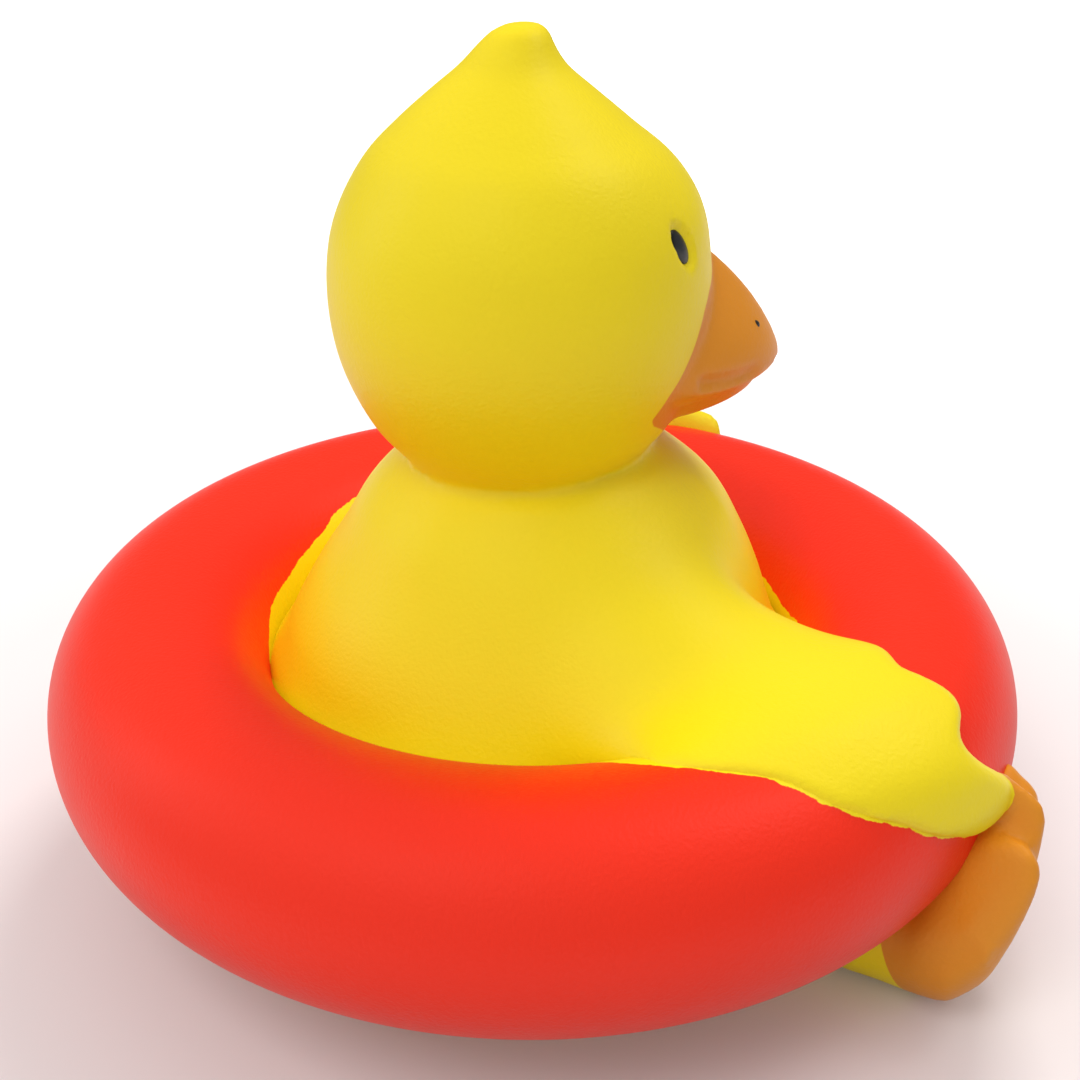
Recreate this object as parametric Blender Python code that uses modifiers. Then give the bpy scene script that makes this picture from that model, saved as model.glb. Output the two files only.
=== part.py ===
"""A bath duck sitting in a swim ring, moulded in one piece as a hollow soft vinyl shell.

The duck faces -Y and is the same on both sides of X = 0. The origin is on the ring's axis at the
height of the floor. Lengths are named in millimetres and turned into metres where meshes are made.
"""

from math import cos, pi, radians, sin

import bmesh
import bpy
from mathutils import Matrix, Vector

MM = 0.001

# The shell
WALL = 2.0
SQUEAK_HOLE_DIAMETER = 3.0
THROAT_HEIGHT = 2.4

# Swim ring
RING_OUTER_DIAMETER = 95.0
RING_TUBE_DIAMETER = 21.4
RING_CENTRE_HEIGHT = 20.0
TUBE_RADIUS = RING_TUBE_DIAMETER / 2
TUBE_CENTRE = RING_OUTER_DIAMETER / 2 - TUBE_RADIUS
HOLE_RADIUS = TUBE_CENTRE - TUBE_RADIUS

# Head: a ball drawn up into a tuft that leans back and hooks forward at its tip
HEAD_DIAMETER = 34.6
HEAD_HEIGHT = 58.0
HEAD_BACK = 1.0
TUFT_RISE = 24.0
TUFT_TIP_DIAMETER = 5.0
TUFT_LEAN = 0.7
TUFT_HOOK = 1.2
HOOK_START = 0.85

# Body: flat base, a waist that overlaps the ring round its hole, shoulders, and a neck that
# ends inside the head
BASE_DIAMETER = 26.0
WAIST_OVERLAP = 0.7
WAIST_FLARE = 2.2
SHOULDER_RADIUS = 21.7
SHOULDER_RISE = 11.0
NECK_RADIUS = 11.4
NECK_BELOW_HEAD = 13.6
NECK_HEIGHT = HEAD_HEIGHT - NECK_BELOW_HEAD
SHOULDER_HEIGHT = RING_CENTRE_HEIGHT + SHOULDER_RISE
BODY_FORWARD = 0.4

# Bill: an upper half across the face and a smaller lower one set back under it
FACE = HEAD_DIAMETER / 2 - HEAD_BACK
BILL_LENGTH = 7.6
BILL_ROOT_INSIDE = 7.3
BILL_ROOT_WIDTH = 26.0
BILL_BELOW_HEAD = 5.0
BILL_DIP = 1.5
BILL_UPPER = 12.2
BILL_LOWER = 4.0
BILL_RIDGE = 0.42
BILL_WRAP = 5.6
MANDIBLE_SHARE = 0.8
MANDIBLE_DROP = 1.8
MANDIBLE_LOWER = 5.4
NOSTRIL_DIAMETER = 1.2
NOSTRIL_ALONG = 0.75
NOSTRIL_TURN = 36.0

# Eyes: shallow oval hollows
EYE_ABOVE_HEAD = 7.7
EYE_BEARING = 46.8
EYE_TALL = 3.4
EYE_WIDE = 2.1
EYE_DEPTH = 0.6
EYE_LEAN = 24.0

# Wings: draped from the shoulders over the ring
WING_THICKNESS = 2.0
WING_SINK = 1.6

# Legs: bars from the hips to the heels, which lie under the ring's outer edge
LEG_DIAMETER = 11.6
LEG_ASIDE = 1.4
LEG_CLEAR = 0.2
LEG_BEARING = 45.0
HIP_REACH = 8.0
HEEL_INSIDE = 3.5
HEEL_REACH = RING_OUTER_DIAMETER / 2 - HEEL_INSIDE

# Feet: upright pads, fused to the ring and proud of it, with three toe ends on top
FOOT_PROUD = 4.4
FOOT_SUNK = 6.0
FOOT_REACH = RING_OUTER_DIAMETER / 2 + FOOT_PROUD
FOOT_INNER_REACH = RING_OUTER_DIAMETER / 2 - FOOT_SUNK
FOOT_WIDTH = 16.5
TOE_RISE = 3.4
FOOT_TOP = RING_CENTRE_HEIGHT + TOE_RISE
FOOT_HEEL_RISE = 8.0
FOOT_TURN = 17.0
FOOT_EDGE_DRAW = 1.6
SOLE_SWEEP = 5.6
SOLE_SWEEP_HEIGHT = 19.0
TOE_SPACING = 5.2
TOE_FAN = 2.6
TOE_GROOVE = 2.6
TOE_ROUND = 1.8

VINYL_COLOUR = (0.91, 0.74, 0.02, 1.0)
VINYL_ROUGHNESS = 0.38

# Mesh divisions of hidden and of visible round forms
COARSE = 16
ROUND = 36


def clear_scene():
    """Remove what the startup scene holds."""
    for item in list(bpy.data.objects):
        bpy.data.objects.remove(item, do_unlink=True)


def new_collection(name):
    collection = bpy.data.collections.new(name)
    bpy.context.scene.collection.children.link(collection)
    return collection


def make_object(name, mesh, collection):
    item = bpy.data.objects.new(name, mesh)
    collection.objects.link(item)
    return item


def mesh_from(name, points, faces):
    """A mesh from points in millimetres, its faces turned outwards."""
    mesh = bpy.data.meshes.new(name)
    mesh.from_pydata([Vector(point) * MM for point in points], [], faces)
    shape = bmesh.new()
    shape.from_mesh(mesh)
    bmesh.ops.recalc_face_normals(shape, faces=shape.faces)
    shape.to_mesh(mesh)
    shape.free()
    return mesh


def turned(name, profile, collection, centre_y=0.0, steps=ROUND):
    """A solid of revolution: a Screw modifier turns a profile of (radius, height) about Z."""
    mesh = bpy.data.meshes.new(name)
    points = [Vector((radius, 0.0, height)) * MM for radius, height in reversed(profile)]
    mesh.from_pydata(points, [(i, i + 1) for i in range(len(points) - 1)], [])
    item = make_object(name, mesh, collection)
    item.location.y = centre_y * MM
    screw = item.modifiers.new("turn", "SCREW")
    screw.steps = screw.render_steps = steps
    screw.use_merge_vertices = True
    screw.merge_threshold = 0.00001
    return item


def lofted(name, sections, collection, levels=1):
    """A closed solid through rings of points, capped at both ends and rounded by subdivision."""
    count = len(sections[0])
    points = [point for section in sections for point in section]
    faces = [tuple(range(count)), tuple(reversed(range(len(points) - count, len(points))))]
    for row in range(len(sections) - 1):
        for i in range(count):
            near = row * count + i
            side = row * count + (i + 1) % count
            faces.append((near, near + count, side + count, side))
    item = make_object(name, mesh_from(name, points, faces), collection)
    if levels:
        smooth = item.modifiers.new("round", "SUBSURF")
        smooth.levels = smooth.render_levels = levels
    return item


def baked(item):
    """Turn an object's modifiers into its mesh."""
    graph = bpy.context.evaluated_depsgraph_get()
    mesh = bpy.data.meshes.new_from_object(item.evaluated_get(graph))
    item.modifiers.clear()
    item.data = mesh
    return item


def mirrored(item):
    """Repeat an object on the other side of X = 0."""
    item.modifiers.new("other side", "MIRROR").use_mirror_merge = False
    return item


def smooth_profile(knots, steps):
    """Points along a Catmull-Rom curve through (radius, height) knots."""
    padded = [knots[0]] + list(knots) + [knots[-1]]
    out = []
    for i in range(1, len(padded) - 2):
        before, start, end, after = (Vector(padded[i + k]) for k in (-1, 0, 1, 2))
        for step in range(steps):
            t = step / steps
            curve = start * 2 + (end - before) * t
            curve += (before * 2 - start * 5 + end * 4 - after) * t ** 2
            curve += (start * 3 - before - end * 3 + after) * t ** 3
            out.append(tuple(curve * 0.5))
    out.append(tuple(padded[-1]))
    return out


def adopt(item, name, collection):
    """Name the object that a primitive operator made, and keep it in one collection only."""
    item.name = name
    for owner in list(item.users_collection):
        owner.objects.unlink(item)
    collection.objects.link(item)
    return item


def ring(inset, collection):
    """The swim ring: a torus about Z."""
    bpy.ops.mesh.primitive_torus_add(
        major_radius=TUBE_CENTRE * MM,
        minor_radius=(TUBE_RADIUS - inset) * MM,
        major_segments=COARSE * 2 if inset else ROUND + 18,
        minor_segments=10 if inset else ROUND // 2,
        location=(0, 0, RING_CENTRE_HEIGHT * MM),
    )
    return adopt(bpy.context.object, "ring", collection)


def body(inset, collection):
    """The duck's trunk as a turned solid, or its hollow where an inset is given."""
    waist = HOLE_RADIUS + WAIST_OVERLAP
    middle = RING_CENTRE_HEIGHT
    base = BASE_DIAMETER / 2
    slope = (SHOULDER_RADIUS - NECK_RADIUS) / (NECK_HEIGHT - SHOULDER_HEIGHT)
    knots = [
        (base, 0.0),
        (base + (waist - base) * 0.55, middle * 0.12),
        (waist - WAIST_FLARE * 0.7, middle * 0.5),
        (waist, middle),
        (waist - WAIST_FLARE, middle + SHOULDER_RISE * 0.31),
        (SHOULDER_RADIUS + slope * 2.1, middle + SHOULDER_RISE * 0.67),
        (SHOULDER_RADIUS, SHOULDER_HEIGHT),
        (
            (SHOULDER_RADIUS + NECK_RADIUS) / 2 + slope * 2.1,
            (SHOULDER_HEIGHT + NECK_HEIGHT) / 2,
        ),
        (NECK_RADIUS, NECK_HEIGHT),
        (NECK_RADIUS * 0.5, NECK_HEIGHT + 2.6),
    ]
    outline = smooth_profile(knots, 1 if inset else 2)
    profile = [(0.0, inset)]
    for radius, height in outline:
        profile.append((max(radius - inset, 0.6), max(height, inset)))
    profile.append((0.0, NECK_HEIGHT + 3.0))
    return turned("body", profile, collection, -BODY_FORWARD, COARSE if inset else ROUND)


def head(inset, collection):
    """The head and its tuft, or their hollow where an inset is given."""
    radius = HEAD_DIAMETER / 2
    tip = TUFT_TIP_DIAMETER / 2
    crown = HEAD_HEIGHT + TUFT_RISE
    ball = (
        (0.40, -1.08),
        (0.62, -0.82),
        (0.84, -0.56),
        (0.96, -0.26),
        (1.0, 0.03),
        (0.975, 0.30),
        (0.90, 0.54),
        (0.765, 0.76),
    )
    knots = [(radius * width, HEAD_HEIGHT + radius * rise) for width, rise in ball]
    knots += [
        (radius * 0.585, HEAD_HEIGHT + TUFT_RISE * 0.66),
        (tip + radius * 0.27, HEAD_HEIGHT + TUFT_RISE * 0.76),
        (tip + radius * 0.12, HEAD_HEIGHT + TUFT_RISE * 0.85),
        (tip + radius * 0.03, HEAD_HEIGHT + TUFT_RISE * 0.925),
        (tip * 0.78, crown - 0.5),
        (tip * 0.35, crown - 0.06),
    ]
    outline = smooth_profile(knots, 1 if inset else 2)
    profile = [(0.0, outline[0][1] - 0.4)]
    highest = crown - inset * 4.0
    for width, height in outline:
        if height < highest:
            profile.append((max(width - inset, 0.6), height))
    profile.append((0.0, highest))
    item = turned("head", profile, collection, HEAD_BACK, COARSE if inset else ROUND)
    baked(item)
    for vertex in item.data.vertices:
        up = min(max((vertex.co.z / MM - HEAD_HEIGHT) / TUFT_RISE, 0.0), 1.0)
        hook = max(up - HOOK_START, 0.0) / (1 - HOOK_START)
        vertex.co.y += (TUFT_LEAN * up - TUFT_HOOK * hook ** 2) * MM
    return item


def bill_point(along, turn, drop=0.0, share=1.0):
    """A point of the bill's rounded cone: along from the face to the tip, turn round its axis."""
    scale = max((1 - along ** 1.7) ** 0.72, 0.06)
    start = FACE - BILL_ROOT_INSIDE
    length = BILL_ROOT_INSIDE + BILL_LENGTH - drop
    narrow = 1 - BILL_RIDGE * max(sin(turn), 0) ** 2
    wrap = BILL_WRAP * cos(turn) ** 2 * scale
    middle = HEAD_HEIGHT - BILL_BELOW_HEAD - BILL_DIP * along - drop
    lower = MANDIBLE_LOWER if drop else BILL_LOWER
    height = BILL_UPPER if sin(turn) > 0 else lower
    return (
        cos(turn) * BILL_ROOT_WIDTH / 2 * share * scale * narrow,
        -(start + length * along - wrap * (1 - along)),
        middle + sin(turn) * height * share * scale,
    )


def bill(drop, share, collection):
    """One half of the bill: a rounded cone across the face, narrowing to a blunt tip."""
    sections = []
    for along in (0.0, 0.3, 0.55, 0.75, 0.9, 0.975, 1.0):
        turns = [2 * pi * i / 12 for i in range(12)]
        sections.append([bill_point(along, turn, drop, share) for turn in turns])
    return lofted("bill", sections, collection)


def nostril_cutter(collection):
    """Small round dimples high on the bill's sides."""
    side, forward, height = bill_point(NOSTRIL_ALONG, radians(NOSTRIL_TURN))
    shape = bmesh.new()
    radius = NOSTRIL_DIAMETER / 2
    bmesh.ops.create_icosphere(shape, subdivisions=1, radius=radius * MM)
    shape.transform(Matrix.Translation(Vector((side, forward, height)) * MM))
    mesh = bpy.data.meshes.new("nostril_cutter")
    shape.to_mesh(mesh)
    shape.free()
    return mirrored(make_object("nostril_cutter", mesh, collection))


def wing_stations():
    """(outer reach, outer height, inner reach, inner height, front bearing, back bearing, fill).

    The first ones run down the shoulder and over the fold between body and ring. The others lie
    on the ring, at lean degrees round its tube, from inside the crest to the tip.
    """
    side = SHOULDER_RADIUS
    level = SHOULDER_HEIGHT
    stations = [
        (side - 8.1, level + 10.0, side - 12.7, level + 5.3, 53.0, 88.0, 0.40),
        (side - 3.7, level + 8.2, side - 9.7, level + 1.3, 46.0, 94.0, 0.50),
        (side - 0.3, level + 5.4, side - 6.7, level - 2.7, 41.0, 99.0, 0.55),
        (side + 2.7, level + 2.9, side - 3.7, level - 6.7, 37.5, 101.0, 0.60),
        (side + 6.3, level + 1.2, side + 2.3, level - 9.7, 36.0, 98.0, 0.85),
    ]
    draped = (
        (108.0, 38.5, 91.0),
        (90.0, 42.5, 81.5),
        (70.0, 44.0, 73.0),
        (52.0, 44.8, 68.5),
        (34.0, 47.6, 63.0),
        (18.0, 43.8, 58.0),
        (4.0, 45.5, 53.5),
    )
    for lean, front, back in draped:
        outer = TUBE_RADIUS + WING_THICKNESS
        inner = TUBE_RADIUS - WING_SINK
        turn = radians(lean)
        stations.append((
            TUBE_CENTRE + cos(turn) * outer,
            RING_CENTRE_HEIGHT + sin(turn) * outer,
            TUBE_CENTRE + cos(turn) * inner,
            RING_CENTRE_HEIGHT + sin(turn) * inner,
            front,
            back,
            1.0,
        ))
    return stations


def wing(collection):
    """The wings: stations from the shoulder to the tip, each thick in front and thin behind."""
    lateral = ((0.0, 0.35), (0.0, 0.95), (0.16, 1.04), (0.45, 0.9), (0.72, 0.62), (0.94, 0.42))
    sections = []
    for reach, height, low_reach, low_height, front, back, fill in wing_stations():
        loop = []
        for across, thick in lateral:
            bearing = radians(front + (back - front) * across)
            thick *= 1 - (1 - fill) * max(across - 0.16, 0.0) / 0.78
            here = low_reach + (reach - low_reach) * thick
            level = low_height + (height - low_height) * thick
            loop.append((here * sin(bearing), -here * cos(bearing), level))
        for across in (1.0, 0.6, 0.2):
            bearing = radians(front + (back - front) * across)
            loop.append((low_reach * sin(bearing), -low_reach * cos(bearing), low_height))
        sections.append(loop)
    return mirrored(lofted("wing", sections, collection))


def along_leg(reach, sideways, height):
    """A point in a leg's own frame: outwards along the leg, sideways towards the front, up."""
    bearing = radians(LEG_BEARING)
    x = reach * sin(bearing) - sideways * cos(bearing)
    y = -reach * cos(bearing) - sideways * sin(bearing)
    return (x, y, height)


def leg(collection):
    """The legs: a round bar that lies on the floor under the ring, from hip to heel."""
    radius = LEG_DIAMETER / 2
    sections = []
    for reach, lift in ((HIP_REACH, 4.0), (18.0, 1.6), (32.0, LEG_CLEAR), (HEEL_REACH, LEG_CLEAR)):
        loop = []
        for i in range(10):
            turn = 2 * pi * i / 10
            height = LEG_DIAMETER / 2 + lift + sin(turn) * radius
            loop.append(along_leg(reach, cos(turn) * radius - LEG_ASIDE, height))
        sections.append(loop)
    return mirrored(lofted("leg", sections, collection))


def sole_reach(sideways, height):
    """How far out the sole lies: it sweeps out from the heel, and is turned a little outwards."""
    sweep = max(1 - height / SOLE_SWEEP_HEIGHT, 0.0)
    return FOOT_REACH - SOLE_SWEEP * sweep ** 2 - sideways * sin(radians(FOOT_TURN))


def foot_section(sideways):
    """One upright slice through the foot, from its bottom edge to its toes."""
    half = FOOT_WIDTH / 2
    share = min(abs(sideways) / half, 1.0)
    bottom = FOOT_HEEL_RISE * (1 - (1 - share ** 2) ** 0.5)
    toe = cos(2 * pi * sideways / TOE_SPACING)
    groove = TOE_GROOVE * 0.5 * (1 - toe)
    edge = max(share - 0.78, 0.0) / 0.22
    top = FOOT_TOP - TOE_FAN * abs(sideways) / TOE_SPACING - groove * (1 - edge) - 3.0 * edge ** 2
    edge_in = FOOT_EDGE_DRAW * edge ** 2
    groove_in = groove * 0.3
    inner = FOOT_INNER_REACH + 1.2 * edge ** 2
    points = (
        (inner, bottom + 1.0),
        (sole_reach(sideways, bottom) - 1.4 - edge_in, bottom),
        (sole_reach(sideways, bottom + 4) - edge_in, bottom + 4),
        (sole_reach(sideways, (bottom + top) / 2) - edge_in, (bottom + top) / 2),
        (sole_reach(sideways, top - 2) - edge_in - groove_in, top - 2),
        (sole_reach(sideways, top) - TOE_ROUND - edge_in - groove_in, top + 0.2),
        (FOOT_INNER_REACH + 4.0, top + 0.2),
        (FOOT_INNER_REACH + 1.6, (bottom + top) / 2),
    )
    return points


def foot(collection):
    """The webbed feet: an upright pad on its heel, with three toe ends along its top."""
    half = FOOT_WIDTH / 2
    steps = 6
    sections = []
    for i in range(-steps, steps + 1):
        sideways = half * i / steps
        section = foot_section(sideways)
        sections.append([along_leg(reach, sideways, height) for reach, height in section])
    return mirrored(lofted("foot", sections, collection))


def eye_cutter(collection):
    """Oval cutters for the eyes, their length upright, square to the head's surface."""
    radius = HEAD_DIAMETER / 2
    reach = radius * (1 - 0.5 * (EYE_ABOVE_HEAD / radius) ** 2)
    bearing = radians(EYE_BEARING)
    height = HEAD_HEIGHT + EYE_ABOVE_HEAD
    centre = Vector((reach * sin(bearing), HEAD_BACK - reach * cos(bearing), height)) * MM
    shape = bmesh.new()
    bmesh.ops.create_uvsphere(shape, u_segments=20, v_segments=10, radius=MM)
    size = Matrix.Diagonal((EYE_WIDE / 2, EYE_DEPTH, EYE_TALL / 2, 1.0))
    turn = Matrix.Rotation(bearing, 4, "Z") @ Matrix.Rotation(-radians(EYE_LEAN), 4, "X")
    shape.transform(Matrix.Translation(centre) @ turn @ size)
    mesh = bpy.data.meshes.new("eye_cutter")
    shape.to_mesh(mesh)
    shape.free()
    return mirrored(make_object("eye_cutter", mesh, collection))


def disc(name, radius, height, level, forward, sides, collection):
    """An upright round cutter."""
    bpy.ops.mesh.primitive_cylinder_add(
        vertices=sides,
        radius=radius * MM,
        depth=height * MM,
        location=(0, -forward * MM, level * MM),
    )
    return adopt(bpy.context.object, name, collection)


def throat(collection):
    """The way between the hollows of the body and the ring: a flat disc at the ring's middle."""
    reach = HOLE_RADIUS + WALL * 2
    sides = COARSE * 2 + 3
    return disc("throat", reach, THROAT_HEIGHT, RING_CENTRE_HEIGHT, 0.0, sides, collection)


def squeak_hole(collection):
    """A round cutter through the base into the hollow."""
    radius = SQUEAK_HOLE_DIAMETER / 2
    return disc("squeak_hole", radius, WALL * 4, 0.0, BODY_FORWARD, COARSE + 8, collection)


def combine(target, others, operation):
    """Apply one exact Boolean of each other object to the target."""
    for index, other in enumerate(others):
        step = target.modifiers.new(f"{operation.lower()} {index}", "BOOLEAN")
        step.operation = operation
        step.solver = "EXACT"
        step.object = other
    return target


def vinyl():
    """The material: soft semi-gloss moulded vinyl in the duck's yellow."""
    material = bpy.data.materials.new("vinyl")
    material.use_nodes = True
    shader = material.node_tree.nodes["Principled BSDF"]
    shader.inputs["Base Color"].default_value = VINYL_COLOUR
    shader.inputs["Roughness"].default_value = VINYL_ROUGHNESS
    shader.inputs["Metallic"].default_value = 0.0
    return material


def build():
    """Join the outer forms, then take away the hollow, the dimples and the squeak hole."""
    clear_scene()
    duck_parts = new_collection("rubber_duck")
    cutters = new_collection("cutters")
    outer = [body(0.0, cutters), head(0.0, cutters), bill(0.0, 1.0, cutters)]
    outer.append(bill(MANDIBLE_DROP, MANDIBLE_SHARE, cutters))
    outer += [wing(cutters), leg(cutters), foot(cutters)]
    inner = [ring(WALL, cutters), body(WALL, cutters), head(WALL, cutters), throat(cutters)]
    inner += [eye_cutter(cutters), nostril_cutter(cutters), squeak_hole(cutters)]
    duck = ring(0.0, duck_parts)
    duck.name = "duck"
    duck.data.name = "duck"
    duck.data.shade_smooth()
    duck.data.materials.append(vinyl())
    combine(duck, outer, "UNION")
    combine(duck, inner, "DIFFERENCE")
    for cutter in cutters.objects:
        if cutter.data.polygons:
            cutter.data.shade_smooth()
        cutter.hide_render = True
        cutter.display_type = "WIRE"


build()
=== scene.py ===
"""A bath duck in its swim ring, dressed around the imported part. Metres, +Z up, the duck faces -Y."""

import bpy
import numpy as np
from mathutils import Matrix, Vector


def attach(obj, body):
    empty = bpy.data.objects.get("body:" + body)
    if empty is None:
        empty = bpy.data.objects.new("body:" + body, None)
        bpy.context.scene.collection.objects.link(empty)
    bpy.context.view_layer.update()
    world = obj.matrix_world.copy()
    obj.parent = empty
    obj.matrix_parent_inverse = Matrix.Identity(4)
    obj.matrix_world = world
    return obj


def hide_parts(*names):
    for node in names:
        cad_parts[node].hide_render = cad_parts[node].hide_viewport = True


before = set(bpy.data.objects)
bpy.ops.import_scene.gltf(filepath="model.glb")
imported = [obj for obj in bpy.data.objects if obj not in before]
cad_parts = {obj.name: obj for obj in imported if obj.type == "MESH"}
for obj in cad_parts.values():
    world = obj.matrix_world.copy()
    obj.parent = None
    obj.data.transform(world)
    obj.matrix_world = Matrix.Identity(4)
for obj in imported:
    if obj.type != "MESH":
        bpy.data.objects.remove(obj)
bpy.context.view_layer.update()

# Trunk and head
# The trunk is turned: flat base, waist inside the ring, shoulders and neck. The head is a ball drawn up
# into a soft tuft that leans back and hooks forward. They are moulded as one with the ring.
TRUNK = (
    # radius, height, how far its middle lies behind the axis
    (13.0, 0.0, 0.4),
    (18.5, 1.2, 0.4),
    (22.5, 5.0, 0.4),
    (25.6, 12.0, 0.4),
    (26.8, 18.0, 0.3),
    (26.3, 21.5, 0.2),
    (24.6, 24.5, 0.1),
    (23.4, 27.2, -0.04),
    (21.7, 31.0, -0.5),
    (19.5, 35.0, -0.95),
    (17.2, 39.0, -1.0),
    (14.3, 42.0, -0.78),
    (10.3, 45.0, -0.54),
    (5.0, 47.0, -0.3),
)
HEAD = (
    (3.0, 38.6, 1.1),
    (7.04, 39.5, 1.1),
    (9.3, 41.9, 1.07),
    (11.6, 44.6, 1.03),
    (14.26, 48.0, 1.02),
    (16.36, 53.0, 1.07),
    (17.17, 58.0, 1.1),
    (16.85, 63.0, 1.2),
    (15.68, 67.0, 1.2),
    (13.22, 71.0, 1.3),
    (10.03, 74.0, 1.55),
    (7.04, 76.5, 1.62),
    (4.62, 78.5, 1.58),
    (3.15, 80.3, 1.27),
    (2.3, 81.3, 0.9),
    (1.1, 81.88, 0.6),
)
TURNED_STEPS = 10
TURNED_COLUMNS = 240


def closed_faces(rows, columns, first=0):
    """Faces of a closed grid: quads between neighbouring rows and columns, columns joined round."""
    row = np.arange(rows - 1)[:, None] * columns
    column = np.arange(columns)[None, :]
    after = (column + 1) % columns
    quads = np.stack([row + column, row + after, row + columns + after, row + columns + column], -1)
    return quads.reshape(-1, 4) + first


def capped(grid):
    """Points and faces of a closed form: the grid's rows in turn, and a fan from the middle of its
    first row and of its last row."""
    rows, columns = grid.shape[:2]
    points = np.concatenate([grid.reshape(-1, 3), grid[:1].mean(1), grid[-1:].mean(1)])
    column = np.arange(columns)
    after = (column + 1) % columns
    start, end = rows * columns, rows * columns + 1
    last = (rows - 1) * columns
    low = np.stack([after, column, np.full(columns, start)], -1)
    high = np.stack([last + column, last + after, np.full(columns, end)], -1)
    return points, closed_faces(rows, columns).tolist() + low.tolist() + high.tolist()


def through(knots, steps):
    """Points on a curve through the knots: between two knots it is the cubic that starts and ends
    on them with slopes of half the chord over each."""
    knots = np.asarray(knots, float)
    padded = np.concatenate([knots[:1], knots, knots[-1:]])
    a, b, c, d = (padded[i:len(padded) - 3 + i][:, None] for i in range(4))
    t = (np.arange(steps) / steps)[None, :, None]
    curve = 2 * b + (c - a) * t + (2 * a - 5 * b + 4 * c - d) * t**2 + (3 * b - a - 3 * c + d) * t**3
    return np.concatenate([(curve / 2).reshape(-1, knots.shape[1]), knots[-1:]])


def turned_grid(profile, columns):
    """Profile rows are radius, height and middle: each is a circle of that radius at that height,
    round a point that lies the middle's distance behind the axis."""
    radius, height, middle = (profile[:, i, None] for i in range(3))
    turn = np.linspace(0, 2 * np.pi, columns, endpoint=False)[None, :]
    return np.stack([radius * np.cos(turn), middle + radius * np.sin(turn), height + 0 * turn], -1)


trunk, head = (
    capped(turned_grid(through(profile, TURNED_STEPS), TURNED_COLUMNS)) for profile in (TRUNK, HEAD)
)

# Wings
# Each wing grows out of the shoulder and drapes over the ring with three blunt feather ends, thick
# along its front and thin at its back edge. It is moulded with the trunk, not set on.
TUBE_CENTRE = 36.8
TUBE_RADIUS = 10.66
RING_HEIGHT = 20.0
WING_SUNK = 1.6
WING_FRONT_ROUND = 3.2
WING_FRONT_STEP = 0.25
WING_BACK_ROUND = 0.6
WING_BACK_STEP = 0.7
WING_THIN_BACK = 0.46
WING_STEPS = 8
WING_OVER = 56
WING_UNDER = 14
WING_ROOT = (
    # outer reach, outer height, inner reach, inner height, front bearing, back bearing,
    # share of the thickness left at the back, swell in the middle
    (13.6, 41.0, 9.0, 36.3, 53.0, 88.0, 0.40, 0.2),
    (18.0, 39.0, 12.0, 32.3, 46.5, 94.0, 0.55, 0.8),
    (21.4, 36.2, 15.0, 28.3, 41.5, 99.0, 0.65, 1.9),
    (24.4, 33.8, 18.0, 24.3, 37.8, 99.0, 0.70, 3.0),
    (28.0, 32.2, 24.0, 21.3, 36.0, 94.5, 0.62, 3.0),
)
WING_DRAPE = (
    # lean round the tube, front bearing, back bearing, share of the thickness left at the back,
    # swell in the middle, height over the ring
    (108.0, 38.0, 87.5, 0.55, 1.7, 2.3),
    (99.0, 40.2, 83.6, 0.47, 1.1, 2.3),
    (91.0, 42.3, 80.2, 0.46, 0.7, 2.3),
    (84.0, 44.4, 76.9, 0.46, 0.5, 2.3),
    (74.0, 44.2, 73.2, 0.46, 0.4, 2.3),
    (64.0, 43.8, 70.9, 0.46, 0.3, 2.3),
    (56.0, 44.8, 69.4, 0.46, 0.3, 2.3),
    (49.5, 48.2, 67.5, 0.47, 0.2, 2.3),
    (42.0, 48.6, 65.1, 0.48, 0.2, 2.3),
    (33.0, 47.2, 61.8, 0.51, 0.2, 2.3),
    (25.0, 45.2, 59.3, 0.54, 0.1, 2.35),
    (19.0, 44.2, 57.2, 0.58, 0.1, 2.4),
    (14.0, 44.0, 55.0, 0.62, 0.0, 2.3),
    (10.0, 44.8, 53.3, 0.68, 0.0, 2.0),
    (7.0, 46.6, 52.0, 0.74, 0.0, 1.4),
    (5.2, 48.4, 50.8, 0.80, 0.0, 0.5),
)
LEFT_WING_LAG = (0.0, 3.0, 7.0, 10.0, 13.0, 14.0, 13.0, 11.5, 10.0, 9.4, 5.0, 1.0)


def wing_front(side):
    """Front bearings of all stations: the left wing's inner ones lie farther back."""
    front = np.array([row[4] for row in WING_ROOT] + [row[1] for row in WING_DRAPE])
    if side > 0:
        front[:len(LEFT_WING_LAG)] += LEFT_WING_LAG
    return front


def wing_share(across, width, left):
    """The wing's thickness as a share of the full one, by the way across from front to back: it rises
    in a quarter circle at the front edge, then falls as the power 1.5 of the way across to the share
    left at the back, and drops there in another quarter circle."""
    rise = np.sqrt(1 - (1 - np.clip(across * width / WING_FRONT_ROUND, 0, 1)) ** 2)
    back_round = WING_BACK_ROUND + 5.0 * np.maximum(left - WING_THIN_BACK, 0)
    fall = np.sqrt(1 - (1 - np.clip((1 - across) * width / back_round, 0, 1)) ** 2)
    slope = 1 - (1 - left) * np.clip((across - 0.1) / 0.9, 0, 1) ** 1.5
    front_edge = WING_FRONT_STEP + (1 - WING_FRONT_STEP) * rise
    return front_edge * slope * (WING_BACK_STEP + (1 - WING_BACK_STEP) * fall)


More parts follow.
